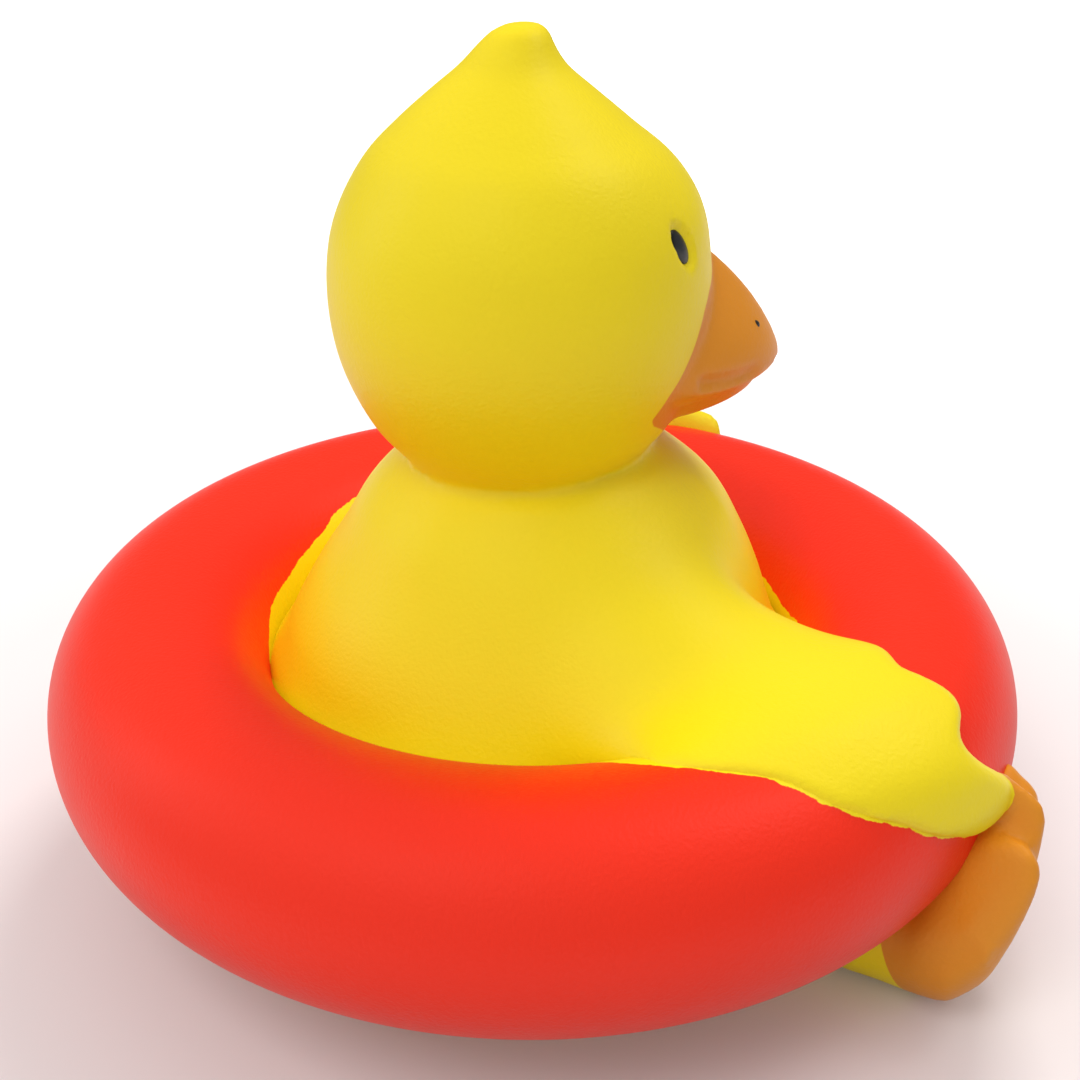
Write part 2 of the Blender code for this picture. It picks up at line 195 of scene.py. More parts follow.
def wing_grid(side):
    """Rows are stations from shoulder to tip and columns run round the wing. A station's point lies
    at a bearing between its front and back one, above its lower side by the share of the thickness
    for its way across and by a swell that follows a half sine."""
    lean, _, back, left, swell, proud = np.array(WING_DRAPE).T
    turn = np.radians(lean)
    drape = []
    for radius in (TUBE_RADIUS + proud, TUBE_RADIUS - WING_SUNK):
        drape += [TUBE_CENTRE + radius * np.cos(turn), RING_HEIGHT + radius * np.sin(turn)]
    knots = np.concatenate([np.array(WING_ROOT), np.stack(drape + [lean, back, left, swell], -1)])
    knots[:, 4] = wing_front(side)
    stations = through(knots, WING_STEPS)
    reach, height, low_reach, low_height, front, back, left, swell = (
        stations[:, i, None] for i in range(stations.shape[1])
    )
    over = (1 - np.cos(np.linspace(0, np.pi, WING_OVER))) / 2
    across = np.concatenate([over, np.linspace(1, 0, WING_UNDER)])
    width = np.radians(back - front) * reach
    size = np.hypot(reach - low_reach, height - low_height)
    thick = wing_share(across, width, left) + swell * np.sin(np.pi * across**0.9) ** 1.4 / size
    thick[:, WING_OVER:] = 0
    bearing = np.radians(front + (back - front) * across)
    here = low_reach + (reach - low_reach) * thick
    level = low_height + (height - low_height) * thick
    return np.stack([side * here * np.sin(bearing), -here * np.cos(bearing), level], -1)


wings = [capped(wing_grid(side)) for side in (-1, 1)]

# Legs and feet
# A plain leg lies on the floor under the ring on each side, and ends in a webbed foot that stands on
# its heel, fused to the ring's outer side, with three toe ends on top. The feet are sprayed orange.
LEG_BEARING = 45.0
LEG_RADIUS = 5.8
LEG_ASIDE = -1.4
LEG = ((8.0, 9.8), (18.0, 7.4), (32.0, 6.0), (44.0, 6.0))
LEG_STEPS = 8
FOOT_HALF = 8.25
FOOT_REACH = 51.9
FOOT_INNER = 41.5
FOOT_TOP = 23.4
TOE_SPACING = 5.2
TOE_FALL = (3.4, 2.2)
TOE_GROOVE = 1.5
EDGE_START = (0.62, 0.78)
EDGE_DROP = (5.0, 3.0)
EDGE_TUCK = 1.6
SOLE_ROUND = 8.0
SOLE_SWEEP = 5.4
SOLE_SWEEP_HEIGHT = 19.0
SOLE_TURN = 0.30
SOLE_BEND = 0.010
TOE_TUCK = 3.0
TOE_SLOPE = 1.8


def leg_frame(side, reach, sideways, height):
    """Points from a leg's own directions: out along it, sideways to the front, and up."""
    bearing = np.radians(LEG_BEARING)
    x = reach * np.sin(bearing) - sideways * np.cos(bearing)
    y = -reach * np.cos(bearing) - sideways * np.sin(bearing)
    return np.stack(np.broadcast_arrays(side * x, y, height), -1)


def leg_grid(side):
    """Circles round a line from hip to heel."""
    path = through(LEG, LEG_STEPS)
    turn = np.linspace(0, 2 * np.pi, 48, endpoint=False)[None, :]
    height = path[:, 1, None] + LEG_RADIUS * np.sin(turn)
    return leg_frame(side, path[:, 0, None], LEG_ASIDE + LEG_RADIUS * np.cos(turn), height)


def foot_grid(side):
    """Rows are upright slices across the foot, from its outer to its front side. A slice's sole
    sweeps out from the heel with the square of the height and draws back with the square of the way
    across, its top follows a cosine over the toes, and its two sides are rounded."""
    sideways = FOOT_HALF * np.sin(np.linspace(-np.pi / 2, np.pi / 2, 73))[:, None]
    share = np.clip(np.abs(sideways) / FOOT_HALF, 0, 1)
    bottom = SOLE_ROUND * (1 - np.sqrt(1 - share**2))
    groove = TOE_GROOVE * ((1 - np.cos(2 * np.pi * sideways / TOE_SPACING)) / 2) ** 1.3
    start, fall, drop = (
        np.where(sideways < 0, *pair) for pair in (EDGE_START, TOE_FALL, EDGE_DROP)
    )
    edge = np.clip((share - start) / (1 - start), 0, 1)
    top = FOOT_TOP - fall * np.abs(sideways) / TOE_SPACING - groove * (1 - edge) - drop * edge**2

    def sole(height):
        sweep = np.clip(1 - height / SOLE_SWEEP_HEIGHT, 0, None)
        drawn = SOLE_TURN * sideways + SOLE_BEND * sideways**2
        return FOOT_REACH - SOLE_SWEEP * sweep**2 - drawn * (0.35 + 0.65 * (1 - sweep)) - EDGE_TUCK * edge**2

    inner = FOOT_INNER + 1.2 * edge**2
    middle = (bottom + top) / 2
    notch = groove * 0.35
    near = np.clip(-sideways / FOOT_HALF, 0, 1)
    knots = [
        (inner + 1.5, bottom + 0.6),
        ((inner + sole(bottom)) / 2 + 0.5, bottom + 0.1),
        (sole(bottom) - 1.4, bottom),
        (sole(bottom + 4), bottom + 4),
        (sole(middle), middle),
        (sole(top - 3.5) - notch * 0.5, top - 3.5),
        (sole(top - 1.2) - notch - 0.25, top - 1.2),
        (sole(top) - 2.0 - notch, top + 0.1),
        (inner + 5.0, top + 0.2 - TOE_SLOPE * np.minimum(near / 0.6, 1)),
        (inner + 1.8, middle),
    ]
    loop = np.stack([np.concatenate(np.broadcast_arrays(*knot), -1) for knot in knots], 1)
    loop = np.concatenate([loop[:, -1:], loop, loop[:, :2]], 1)
    curve = np.stack([through(row, 8)[8:-9] for row in loop])
    drawn = TOE_TUCK * near * (curve[..., 1] / FOOT_TOP) ** 2
    return leg_frame(side, curve[..., 0], sideways + drawn, curve[..., 1])


legs = [capped(leg_grid(side)) for side in (-1, 1)]
feet = [capped(foot_grid(side)) for side in (-1, 1)]

# Bill
# A broad upper half wraps the face and narrows to a blunt tip, and a smaller lower half is set back
# under it. Both are part of the moulding and are sprayed orange up to a crisp line on the face.
BILL_START = 9.0
BILL_LENGTH = 14.9
BILL_HALF_WIDTH = 13.0
BILL_HEIGHT = 53.0
BILL_DIP = 1.5
BILL_WRAP = 5.6
BILL_UPPER = 12.2
BILL_LOWER = 4.0
BILL_NARROW = 0.42
BILL_BLUNT = 1.7
BILL_ROUND = 0.72
BILL_STEPS = (40, 96)
MANDIBLE_DROP = 1.8
MANDIBLE_SHARE = 0.8
MANDIBLE_LOWER = 5.5


def bill_grid(drop, share, lower):
    """A cone with round sides: its size falls from face to tip as (1 - along^1.7)^0.72, its ridge is
    narrower than its edges, and its sides are drawn back round the head."""
    along = np.sin(np.linspace(0, np.pi / 2, BILL_STEPS[0]))[:, None]
    turn = np.linspace(0, 2 * np.pi, BILL_STEPS[1], endpoint=False)[None, :]
    size = np.maximum(1 - along**BILL_BLUNT, 1e-4) ** BILL_ROUND
    narrow = 1 - BILL_NARROW * np.maximum(np.sin(turn), 0) ** 2
    x = np.cos(turn) * BILL_HALF_WIDTH * share * size * narrow
    wrap = BILL_WRAP * np.cos(turn) ** 2 * size
    y = -(BILL_START + (BILL_LENGTH - drop) * along - wrap * (1 - along))
    height = np.where(np.sin(turn) > 0, BILL_UPPER, lower)
    z = BILL_HEIGHT - BILL_DIP * along - drop + np.sin(turn) * height * share * size
    return np.stack([x, y, z], -1)


upper_bill = capped(bill_grid(0.0, 1.0, BILL_LOWER))
lower_bill = capped(bill_grid(MANDIBLE_DROP, MANDIBLE_SHARE, MANDIBLE_LOWER))

# The duck's skin
# Trunk, head, wings, legs, feet and bill are one soft vinyl skin with a fine pebbled grain, all yellow but
# for the masked orange of bill and feet. The forms are fused at a fine voxel and relaxed, most where the
# wings flow out of the shoulders. Eye sockets, mouth and squeak hole are pressed into it.
MM = 0.001
VOXEL = 0.52
SMOOTH = 0.5
SMOOTH_BACK = -0.52
FILLET_ROUNDS = 195
ROOT_BEARINGS = ((22, 34), (118, 140))
ROOT_HEIGHTS = ((22.5, 25.5), (41.0, 43.0))
ROOT_REACH = (30, 36)
HEEL_REACH = ((38, 41), (46, 48))
HEEL_HEIGHT = (9, 14)
HEEL_FILLET = 0.25
BILL_FILLET = 0.02
BROW_HEIGHT = 70.0
BROW_SPREAD = 5.5
BROW_SWELL = 0.6
MOUTH_DEPTH = 0.55
MOUTH_EDGE = (0.2, 0.95)
MOUTH_END = (18.5, 20.5)
EYE_CENTRE = np.array([11.2, -10.55, 65.45])
EYE_UP = np.array([0.081, 0.489, 0.869])
EYE_OUT = np.array([0.666, -0.626, 0.407])
EYE_UP = EYE_UP / np.linalg.norm(EYE_UP)
EYE_OUT = EYE_OUT - EYE_UP * (EYE_OUT @ EYE_UP)
EYE_OUT = EYE_OUT / np.linalg.norm(EYE_OUT)
EYE_ACROSS = np.cross(EYE_UP, EYE_OUT)
EYE_TALL = 1.66
EYE_WIDE = 1.0
EYE_SINK = 0.55
MOUTH = ((13.3, 52.7), (15.0, 52.35), (17.0, 52.1), (19.5, 51.9), (24.0, 51.7))
HOLE_FORWARD = 0.4
HOLE_RADIUS = 1.5
HOLE_DEPTH = 2.0
FOOT_LINE = 44.9
FOOT_LINE_LEAN = 0.42
FOOT_LINE_TURN = 0.05
FOOT_LINE_TOP = 27
FOOT_LINE_HALF = 12
WING_TIP_LEAN = 4.6
WING_PAINT_OVER = (0.35, 0.3)
BILL_LINE = (
    (0.0, 62.0),
    (4.0, 61.7),
    (8.0, 60.4),
    (9.5, 59.2),
    (10.4, 57.7),
    (11.4, 55.3),
    (12.4, 52.6),
    (12.7, 50.6),
    (11.9, 49.7),
    (10.6, 48.9),
    (8.0, 47.4),
    (4.0, 45.6),
    (0.0, 45.0),
    (-30.0, 45.0),
    (-30.0, 62.0),
)
YELLOW = (0.93, 0.73, 0.004, 1.0)
YELLOW_DEEP = (0.905, 0.695, 0.003, 1.0)
ORANGE = (0.76, 0.27, 0.012, 1.0)


def piece(name, points, faces):
    """An object at the origin with this mesh in millimetres, smooth shaded."""
    mesh = bpy.data.meshes.new(name)
    mesh.from_pydata((np.asarray(points) * MM).tolist(), [], [tuple(face) for face in faces])
    mesh.shade_smooth()
    item = bpy.data.objects.new(name, mesh)
    bpy.context.scene.collection.objects.link(item)
    return item


def fused(name, forms, voxel):
    """One closed skin round all the forms."""
    points, faces, first = [], [], 0
    for form_points, form_faces in forms:
        points.append(form_points)
        faces += [tuple(corner + first for corner in face) for face in form_faces]
        first += len(form_points)
    item = piece(name, np.concatenate(points), faces)
    remesh = item.modifiers.new("fuse", "REMESH")
    remesh.mode = "VOXEL"
    remesh.voxel_size = voxel * MM
    graph = bpy.context.evaluated_depsgraph_get()
    mesh = bpy.data.meshes.new_from_object(item.evaluated_get(graph))
    item.modifiers.clear()
    item.data = mesh
    mesh.name = name
    return item


def read_points(mesh):
    points = np.empty(len(mesh.vertices) * 3)
    mesh.vertices.foreach_get("co", points)
    return points.reshape(-1, 3) / MM


def relaxed(points, edges, weight, rounds, back=0.0):
    """Each point moves part of the way to the mean of its neighbours. With back set, a second move
    away from that mean follows, which keeps the broad form and takes only the roughness."""
    count = len(points)
    a, b = edges.T
    degree = np.bincount(a, minlength=count) + np.bincount(b, minlength=count)
    moves = [SMOOTH, back] if back else [SMOOTH]
    for _ in range(rounds):
        for move in moves:
            total = np.empty_like(points)
            for axis in range(3):
                total[:, axis] = np.bincount(a, points[b, axis], count)
                total[:, axis] += np.bincount(b, points[a, axis], count)
            points = points + (total / degree[:, None] - points) * (move * weight)[:, None]
    return points


def step_between(value, low, high):
    """0 below low, 1 above high, and the smooth cubic 3t^2 - 2t^3 between them."""
    t = np.clip((value - low) / (high - low), 0, 1)
    return t * t * (3 - 2 * t)


def outline_distance(across, up, line):
    """Distance in a plane from an outline of straight spans, positive inside it: the least distance
    to a span, with its sign from the count of spans that a level line outwards crosses."""
    line = np.asarray(line, float)
    best = np.full(across.shape, np.inf)
    crossings = np.zeros(across.shape, int)
    for (x0, y0), (x1, y1) in zip(line, np.roll(line, -1, 0)):
        dx, dy = x1 - x0, y1 - y0
        t = np.clip(((across - x0) * dx + (up - y0) * dy) / (dx * dx + dy * dy), 0, 1)
        best = np.minimum(best, np.hypot(across - x0 - t * dx, up - y0 - t * dy))
        if dy:
            level = (up > min(y0, y1)) & (up <= max(y0, y1))
            crossings += level & (across < x0 + (up - y0) * dx / dy)
    return np.where(crossings % 2 == 1, best, -best)


def store(mesh, name, values):
    """A number for each point of the mesh."""
    mesh.attributes.new(name, "FLOAT", "POINT").data.foreach_set("value", values.astype(np.float32))


def new_material(name):
    material = bpy.data.materials.new(name)
    material.use_nodes = True
    tree = material.node_tree
    return material, tree, tree.nodes["Principled BSDF"]


def node(tree, kind, **settings):
    made = tree.nodes.new(kind)
    for key, value in settings.items():
        if key in made.inputs.keys():
            made.inputs[key].default_value = value
        else:
            setattr(made, key, value)
    return made


def linked(tree, kind, inputs, **settings):
    """A node whose inputs, by name or number, are a socket to link or a plain value."""
    made = node(tree, kind, **settings)
    for key, value in inputs.items():
        if isinstance(value, bpy.types.NodeSocket):
            tree.links.new(value, made.inputs[key])
        else:
            made.inputs[key].default_value = value
    return made


def grain_group():
    """Fine pebbled vinyl: a height for the bump and a slow mottle for colour and roughness."""
    group = bpy.data.node_groups.new("vinyl grain", "ShaderNodeTree")
    sockets = ("Pebble Scale", "INPUT"), ("Mottle Scale", "INPUT"), ("Height", "OUTPUT"), ("Mottle", "OUTPUT")
    for name, way in sockets:
        group.interface.new_socket(name, in_out=way, socket_type="NodeSocketFloat")
    inside = group.nodes.new("NodeGroupInput").outputs
    place = node(group, "ShaderNodeTexCoord").outputs["Object"]
    pebble = linked(group, "ShaderNodeTexNoise", {"Vector": place, "Scale": inside["Pebble Scale"]},
                    Detail=2.0, Roughness=0.55)
    mottle = linked(group, "ShaderNodeTexNoise", {"Vector": place, "Scale": inside["Mottle Scale"]},
                    Detail=3.0)
    linked(group, "NodeGroupOutput", {"Height": pebble.outputs["Fac"], "Mottle": mottle.outputs["Fac"]})
    return group


GRAIN = grain_group()
PEBBLE_SCALE = 2600.0
MOTTLE_SCALE = 45.0
VINYL_ROUGHNESS = (0.39, 0.48)
PAINT_EDGE = 0.04


def grained(tree, pebble, mottle):
    """The grain group in a material, with its two scales."""
    grain = node(tree, "ShaderNodeGroup", node_tree=GRAIN)
    grain.inputs["Pebble Scale"].default_value = pebble
    grain.inputs["Mottle Scale"].default_value = mottle
    return grain.outputs


def ragged(tree, value, rag, scale):
    """The field with noise of this height, in millimetres, and scale added to it."""
    place = node(tree, "ShaderNodeTexCoord").outputs["Object"]
    noise = linked(tree, "ShaderNodeTexNoise", {"Vector": place}, Detail=4.0, Roughness=0.6, Scale=scale)
    rough = linked(tree, "ShaderNodeMath", {
        0: noise.outputs["Fac"], 1: rag * 2, 2: -rag,
    }, operation="MULTIPLY_ADD")
    return linked(tree, "ShaderNodeMath", {0: value, 1: rough.outputs[0]}, operation="ADD").outputs[0]


def vinyl(name, base, base_deep, layers):
    """Semi-gloss vinyl: a mottled base colour, then each painted layer where its field is positive.
    A layer is (attribute, colour, raggedness in millimetres, scale of the rags)."""
    material, tree, shader = new_material(name)
    grain = grained(tree, PEBBLE_SCALE, MOTTLE_SCALE)
    colour = linked(tree, "ShaderNodeMix", {
        "Factor": grain["Mottle"], "A": base, "B": base_deep,
    }, data_type="RGBA").outputs["Result"]
    for attribute, paint, rag, scale in layers:
        value = node(tree, "ShaderNodeAttribute", attribute_name=attribute).outputs["Fac"]
        if rag:
            value = ragged(tree, value, rag, scale)
        edge = linked(tree, "ShaderNodeMapRange", {
            "Value": value, "From Min": -PAINT_EDGE, "From Max": PAINT_EDGE,
        })
        colour = linked(tree, "ShaderNodeMix", {
            "Factor": edge.outputs["Result"], "A": colour, "B": paint,
        }, data_type="RGBA").outputs["Result"]
    tree.links.new(colour, shader.inputs["Base Color"])
    span = linked(tree, "ShaderNodeMapRange", {
        "Value": grain["Mottle"], "To Min": VINYL_ROUGHNESS[0], "To Max": VINYL_ROUGHNESS[1],
    })
    tree.links.new(span.outputs["Result"], shader.inputs["Roughness"])
    bump = linked(tree, "ShaderNodeBump", {"Height": grain["Height"], "Strength": 0.5, "Distance": 0.0001})
    tree.links.new(bump.outputs["Normal"], shader.inputs["Normal"])
    shader.inputs["Specular IOR Level"].default_value = 0.4
    return material


def dress(item, material):
    """Give a piece its material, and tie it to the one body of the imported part."""
    item.data.materials.append(material)
    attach(item, "root")
    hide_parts("duck")


duck = fused("duck_skin", [trunk, head, *wings, *legs, *feet, upper_bill, lower_bill], VOXEL)
points = read_points(duck.data)
edges = np.empty(len(duck.data.edges) * 2, int)
duck.data.edges.foreach_get("vertices", edges)
edges = edges.reshape(-1, 2)
points = relaxed(points, edges, np.ones(len(points)), 6, SMOOTH_BACK)

x, y, z = points.T
reach = np.hypot(x, y)
bearing = np.degrees(np.arctan2(np.abs(x), -y))
root = step_between(bearing, *ROOT_BEARINGS[0]) * (1 - step_between(bearing, *ROOT_BEARINGS[1]))
root *= step_between(z, *ROOT_HEIGHTS[0]) * (1 - step_between(z, *ROOT_HEIGHTS[1]))
root *= 1 - step_between(reach, *ROOT_REACH)
out = (np.abs(x) - y) * np.sqrt(0.5)
heel = step_between(out, *HEEL_REACH[0]) * (1 - step_between(out, *HEEL_REACH[1]))
heel *= (1 - step_between(z, *HEEL_HEIGHT)) * (z > 0.6)
ridge = (1 - step_between(np.abs(x), 1.5, 4.0)) * step_between(-y, 12.5, 14.5) * (z > BILL_HEIGHT - 8)
points = relaxed(points, edges, root + HEEL_FILLET * heel + BILL_FILLET * ridge, FILLET_ROUNDS)
points = relaxed(points, edges, np.ones(len(points)), 4, SMOOTH_BACK)

# The brow swells a little where the bill's top runs into the head.
brow = np.exp(-(((points[:, 2] - BROW_HEIGHT) / BROW_SPREAD) ** 2))
points[:, 1] -= BROW_SWELL * step_between(-points[:, 1], 9.0, 15.0) * brow

for side in (-1, 1):
    flip = np.array([side, 1, 1])
    offset = points - EYE_CENTRE * flip
    tall = offset @ (EYE_UP * flip) / EYE_TALL
    wide = offset @ (EYE_ACROSS * flip) / EYE_WIDE
    ring = np.where(offset @ (EYE_OUT * flip) > -4, np.hypot(tall, wide), 9)
    sink = EYE_SINK * (1 - step_between(ring, 0.95, 1.45))
    points = points - sink[:, None] * EYE_OUT * flip

x, y, z = points.T
mouth_height = np.interp(-y, *np.array(MOUTH).T)
mouth = np.hypot(np.minimum(-y - MOUTH[0][0], 0), z - mouth_height)
press = MOUTH_DEPTH * (1 - step_between(mouth, *MOUTH_EDGE)) * (-y > 10)
press *= 1 - step_between(-y, *MOUTH_END)
points[:, 0] -= np.sign(x) * press * np.minimum(np.abs(x) / 4, 1) * 0.9
points[:, 1] += press * 0.4

hole = np.hypot(points[:, 0], points[:, 1] + HOLE_FORWARD)
dimple = HOLE_DEPTH * (1 - step_between(hole, HOLE_RADIUS - 0.3, HOLE_RADIUS + 0.2))
points[:, 2] = np.maximum(points[:, 2], 0) + dimple * (points[:, 2] < 1)
duck.data.vertices.foreach_set("co", (points * MM).ravel())
duck.data.update()
duck.data.shade_smooth()

x, y, z = points.T
store(duck.data, "bill", np.where(y < -4, outline_distance(np.abs(x), z, BILL_LINE), -9))
out = (np.abs(x) - y) * np.sqrt(0.5)
aside = (-np.abs(x) - y) * np.sqrt(0.5)
foot_field = out - (FOOT_LINE - FOOT_LINE_LEAN * z + FOOT_LINE_TURN * aside)
foot_field = np.where(z < FOOT_LINE_TOP, foot_field, -9)
foot_field = np.minimum(foot_field, FOOT_LINE_HALF - np.abs(aside))
tube = np.hypot(np.hypot(x, y) - TUBE_CENTRE, z - RING_HEIGHT)
lean = np.degrees(np.arctan2(z - RING_HEIGHT, np.hypot(x, y) - TUBE_CENTRE))
bearing = np.degrees(np.arctan2(np.abs(x), -y))
rows = np.array(WING_DRAPE)[::-1]
front, back, left, _, proud = (np.interp(lean, rows[:, 0], rows[:, i]) for i in range(1, 6))
width = np.radians(back - front) * np.hypot(x, y)
share = wing_share((bearing - front) / (back - front), width, left)
surface = TUBE_RADIUS - WING_SUNK + (proud + WING_SUNK) * share
on_wing = np.minimum(surface + WING_PAINT_OVER[0] - tube, np.radians(lean - WING_TIP_LEAN) * TUBE_RADIUS)
on_wing = np.minimum(on_wing, np.radians(bearing - front) * np.hypot(x, y) + WING_PAINT_OVER[1])
store(duck.data, "foot", np.minimum(foot_field, -on_wing))
dress(duck, vinyl("painted duck vinyl", YELLOW, YELLOW_DEEP, [
    ("bill", ORANGE, 0.0, 0.0),
    ("foot", ORANGE, 0.0, 0.0),
]))

# Swim ring
# The ring is the blown-out rim of the same moulding: a round tube bent into a circle, sprayed red. The
# yellow spray of the duck runs a little way onto it, with a ragged edge round the trunk and the wings.
RING_STEPS = (420, 120)
RED = (0.95, 0.0232, 0.0018, 1.0)
RED_DEEP = (0.92, 0.022, 0.002, 1.0)
RAG = 0.45
RAG_SCALE = 520.0
RAG_OUT = 0.1
ROUND_THE_RING = TUBE_CENTRE + 4
CHEST_LINE = (
    # lean round the tube, bearing
    (186.0, -8.0), (164.5, 0.0), (163.0, 6.0), (160.0, 10.0), (163.0, 22.0), (148.0, 32.0), (122.0, 36.0),
)
REAR_LINE = (
    (126.0, 93.0), (131.0, 110.0), (137.0, 126.0), (142.0, 130.0), (146.0, 134.0), (151.0, 142.0),
    (155.0, 150.0), (158.0, 162.0), (165.0, 170.0), (172.0, 180.0), (186.0, 190.0),
)


def torus_grid(radius, steps):
    """Round the axis by u and round the tube by v: reach = centre + radius cos v, height = radius sin v."""
    around = np.linspace(0, 2 * np.pi, steps[0], endpoint=False)[:, None]
    turn = np.linspace(0, 2 * np.pi, steps[1], endpoint=False)[None, :]
    reach = TUBE_CENTRE + radius * np.cos(turn)
    height = RING_HEIGHT + radius * np.sin(turn) + 0 * around
    return np.stack([reach * np.cos(around), reach * np.sin(around), height], -1)


def yellow_line(side):
    """The masked edge on one side, in millimetres round the tube and round the ring: along the chest,
    the wing's front edge out to its tip, its back edge, and round the trunk to the rear."""
    drape = np.array(WING_DRAPE)
    front = wing_front(side)[len(WING_ROOT):]
    line = list(CHEST_LINE) + list(zip(drape[:, 0], front + 0.4))
    line += [(row[0], row[2]) for row in WING_DRAPE[::-1]] + list(REAR_LINE)
    return np.radians(np.array(line)) * np.array([TUBE_RADIUS, ROUND_THE_RING])


swim_ring_grid = torus_grid(TUBE_RADIUS, RING_STEPS)
faces = closed_faces(RING_STEPS[0] + 1, RING_STEPS[1]) % (RING_STEPS[0] * RING_STEPS[1])
swim_ring = piece("swim_ring", swim_ring_grid.reshape(-1, 3), faces[:, ::-1])
x, y, z = read_points(swim_ring.data).T
lean = np.degrees(np.arctan2(z - RING_HEIGHT, np.hypot(x, y) - TUBE_CENTRE))
lean = np.where(lean < -90, lean + 360, lean)
place = np.radians(lean) * TUBE_RADIUS, np.arctan2(np.abs(x), -y) * ROUND_THE_RING
right, left = (outline_distance(*place, yellow_line(side)) for side in (-1, 1))
store(swim_ring.data, "yellow", np.where(x < 0, right, left) + RAG_OUT)
dress(swim_ring, vinyl("painted ring vinyl", RED, RED_DEEP, [("yellow", YELLOW, RAG, RAG_SCALE)]))

# Eyes and nostrils
# Black ovals lie in the shallow eye sockets, sprayed satin black, with painted shade that darkens them near
# black at their rim where they meet the socket. The nostrils are two black dots, smaller than a pinhead, of
# the same spray and the same painted rim shade, high on the bill.
SOOT = (0.020, 0.022, 0.025, 1.0)
SLATE = (0.034, 0.037, 0.041, 1.0)
# Painted shade: near black laid on the rim of the eyes and nostrils, where shade falls at the socket's edge.
RIM_SHADE_BLACK = (0.006, 0.006, 0.006, 1.0)
NOSTRIL_CENTRE = np.array([3.85, -20.23, 55.5])
NOSTRIL_OUT = np.array([0.52, -0.69, 0.5])
NOSTRIL_UP = np.array([0.0, 0.59, 0.81])
NOSTRIL_SIZE = (0.42, 0.28, 0.3)
NOSTRIL_SINK = 0.12
EYE_THICK = 0.42
OVAL_STEPS = (33, 64)


def black_paint_and_rim_shade():
    """Satin black: slow clouds of soot and slate, with painted shade, near black, at the oval's rim where the
    attribute rim_shade nears 1.
    """
    material, tree, shader = new_material("black eye paint and rim shade")
    grain = grained(tree, 3000.0, 900.0)
    slate = linked(tree, "ShaderNodeMix", {
        "Factor": grain["Mottle"], "A": SOOT, "B": SLATE,
    }, data_type="RGBA")
    # Painted shade at the rim: the colour goes to near black as the rim_shade number nears 1.
    rim_shade = node(tree, "ShaderNodeAttribute", attribute_name="rim_shade")
    shade_at_rim = linked(tree, "ShaderNodeMapRange", {
        "Value": rim_shade.outputs["Fac"], "From Min": 0.3, "From Max": 0.75,
    })
    paint = linked(tree, "ShaderNodeMix", {
        "Factor": shade_at_rim.outputs["Result"], "A": slate.outputs["Result"], "B": RIM_SHADE_BLACK,
    }, data_type="RGBA")
    tree.links.new(paint.outputs["Result"], shader.inputs["Base Color"])
    bump = linked(tree, "ShaderNodeBump", {"Height": grain["Height"], "Strength": 0.2, "Distance": 0.00005})
    tree.links.new(bump.outputs["Normal"], shader.inputs["Normal"])
    shader.inputs["Roughness"].default_value = 0.32
    return material


def oval(name, side, centre, up, out, size, sink, material):
    """An ellipsoid with half axes up, across and out, its middle sunk below the surface."""
    up, out = up / np.linalg.norm(up), out / np.linalg.norm(out)
    out = out - up * (out @ up)
    across = np.cross(up, out)
    flip = np.array([side, 1, 1])
    turn = np.linspace(0, 2 * np.pi, OVAL_STEPS[1], endpoint=False)[None, :]
    rise = np.linspace(-0.5, 0.5, OVAL_STEPS[0])[1:-1, None] * np.pi
    tall = np.cos(rise) * np.cos(turn) * size[0]
    wide = np.cos(rise) * np.sin(turn) * size[1]
    depth = np.sin(rise) * size[2] - sink + 0 * turn
    grid = centre + tall[..., None] * up + wide[..., None] * across + depth[..., None] * out
    form_points, form_faces = capped(grid * flip)
    item = piece(name, form_points, [face[::side] for face in form_faces])
    # rim_shade is 1 at the oval's outline and falls to 0 at its top and bottom, which places the painted
    # shade at the rim.
    store(item.data, "rim_shade", 1 - np.abs((form_points * flip - centre) @ out + sink) / size[2])
    dress(item, material)


paint = black_paint_and_rim_shade()
for end, side in (("right", -1), ("left", 1)):
    oval(f"eye_{end}", side, EYE_CENTRE, EYE_UP, EYE_OUT, (EYE_TALL, EYE_WIDE, EYE_THICK), EYE_SINK, paint)
    oval(f"nostril_{end}", side, NOSTRIL_CENTRE, NOSTRIL_UP, NOSTRIL_OUT, NOSTRIL_SIZE, NOSTRIL_SINK, paint)

# Studio
# A pale floor that keeps the toy's shadow and grows white farther out, a white surround that lights the
# toy more from the camera's left, and four soft lamps. Places are in metres here.
WHITE = (1, 1, 1, 1)
PALE = (0.80, 0.74, 0.73, 1)
BOUNCE = (0.5, 0.5, 0.5, 1)
FLOOR_HALF = 3000
GLOW_FROM, GLOW_TO = 0.075, 0.32
GLOW_NEAR, GLOW_FAR = 0.03, 0.75
CAMERA_PLACE = (-0.12757, 0.02684, 0.10103)
CAMERA_LOOK = (0.8678, -0.1876, -0.4602)
CAMERA_LEFT = (0.211, 0.977, 0.0)
SHINE_WAY = (0.80, -0.10, 0.60)


def lamp(name, place, target, size, power):
    """A rectangular lamp at a place, in metres, turned to its target."""
    light = bpy.data.lights.new(name, "AREA")
    light.shape = "RECTANGLE"
    light.size, light.size_y = size
    light.energy = power
    item = bpy.data.objects.new(name, light)
    bpy.context.scene.collection.objects.link(item)
    item.location = place
    item.rotation_euler = (Vector(target) - Vector(place)).to_track_quat("-Z", "Y").to_euler()
    return item


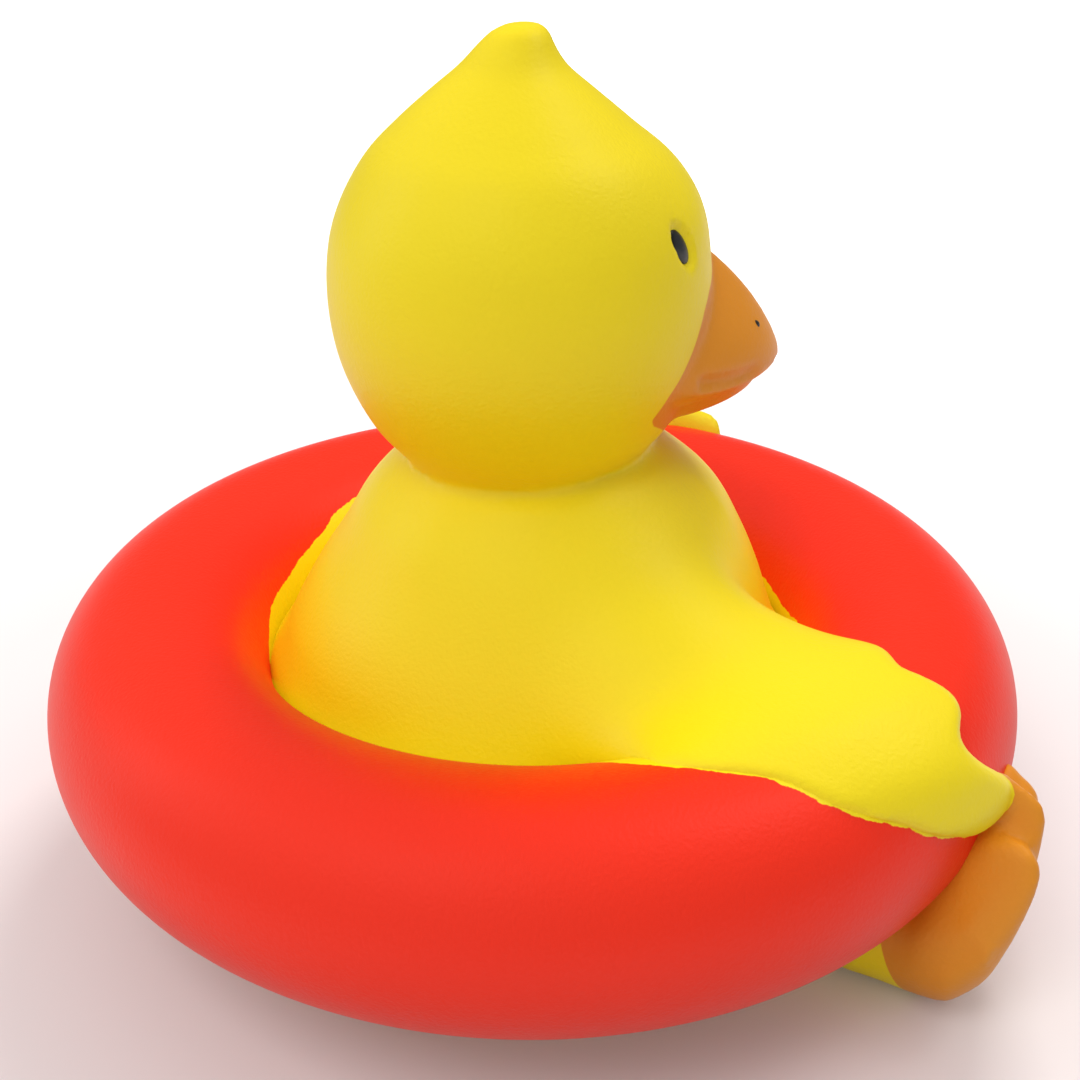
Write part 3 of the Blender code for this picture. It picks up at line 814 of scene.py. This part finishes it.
corners = ((-1, -1, 0), (1, -1, 0), (1, 1, 0), (-1, 1, 0))
floor = piece("floor", np.array(corners) * FLOOR_HALF, [(0, 1, 2, 3)])
material, tree, shader = new_material("floor white")
shader.inputs["Roughness"].default_value = 0.9
shader.inputs["Specular IOR Level"].default_value = 0.1
shader.inputs["Emission Color"].default_value = WHITE
rays = node(tree, "ShaderNodeLightPath").outputs
white = linked(tree, "ShaderNodeMix", {
    "Factor": rays["Is Diffuse Ray"], "A": PALE, "B": BOUNCE,
}, data_type="RGBA")
tree.links.new(white.outputs["Result"], shader.inputs["Base Color"])
place = node(tree, "ShaderNodeTexCoord").outputs["Object"]
away = linked(tree, "ShaderNodeVectorMath", {0: place}, operation="LENGTH")
glow = linked(tree, "ShaderNodeMapRange", {
    "Value": away.outputs["Value"],
    "From Min": GLOW_FROM, "From Max": GLOW_TO, "To Min": GLOW_NEAR, "To Max": GLOW_FAR,
})
lit = linked(tree, "ShaderNodeMath", {
    0: rays["Is Camera Ray"], 1: glow.outputs["Result"],
}, operation="MULTIPLY")
tree.links.new(lit.outputs[0], shader.inputs["Emission Strength"])
floor.data.materials.append(material)

world = bpy.data.worlds.new("studio")
bpy.context.scene.world = world
world.use_nodes = True
tree = world.node_tree
rays = node(tree, "ShaderNodeLightPath").outputs
way = node(tree, "ShaderNodeTexCoord").outputs["Generated"]
far = linked(tree, "ShaderNodeVectorMath", {0: way, 1: SHINE_WAY}, operation="DOT_PRODUCT")
shine = linked(tree, "ShaderNodeMapRange", {
    "Value": far.outputs["Value"], "From Min": -0.6, "From Max": 0.9, "To Min": 0.02, "To Max": 0.11,
})
left = linked(tree, "ShaderNodeVectorMath", {0: way, 1: CAMERA_LEFT}, operation="DOT_PRODUCT")
soft = linked(tree, "ShaderNodeMapRange", {
    "Value": left.outputs["Value"], "From Min": -1.0, "From Max": 1.0, "To Min": 0.47, "To Max": 0.94,
})
light = linked(tree, "ShaderNodeMix", {
    "Factor": rays["Is Glossy Ray"], "A": soft.outputs["Result"], "B": shine.outputs["Result"],
}, data_type="FLOAT")
seen = linked(tree, "ShaderNodeMix", {
    "Factor": rays["Is Camera Ray"], "A": light.outputs["Result"], "B": 1.0,
}, data_type="FLOAT")
background = tree.nodes["Background"]
background.inputs["Color"].default_value = WHITE
tree.links.new(seen.outputs["Result"], background.inputs["Strength"])

lamp("key", (-0.30, 0.28, 0.60), (0, 0, 0.04), (0.30, 0.30), 1.25).visible_glossy = False
lamp("top", (0.40, -0.26, 0.58), (0, 0, 0.03), (0.28, 0.28), 2.6).visible_glossy = False
lamp("strip", (0.20, 0.50, 0.25), (0, 0, 0.05), (0.10, 0.45), 0.2)
lamp("side", (-0.01, -0.32, 0.52), (0, 0, 0.05), (0.15, 0.25), 0.3)

camera = bpy.data.objects.new("camera", bpy.data.cameras.new("camera"))
bpy.context.scene.collection.objects.link(camera)
camera.data.lens = 50.0
camera.data.sensor_width = 36.0
camera.data.clip_start = 0.01
camera.location = CAMERA_PLACE
camera.rotation_euler = Vector(CAMERA_LOOK).to_track_quat("-Z", "Y").to_euler()
bpy.context.scene.camera = camera
bpy.context.scene.view_settings.view_transform = "Standard"
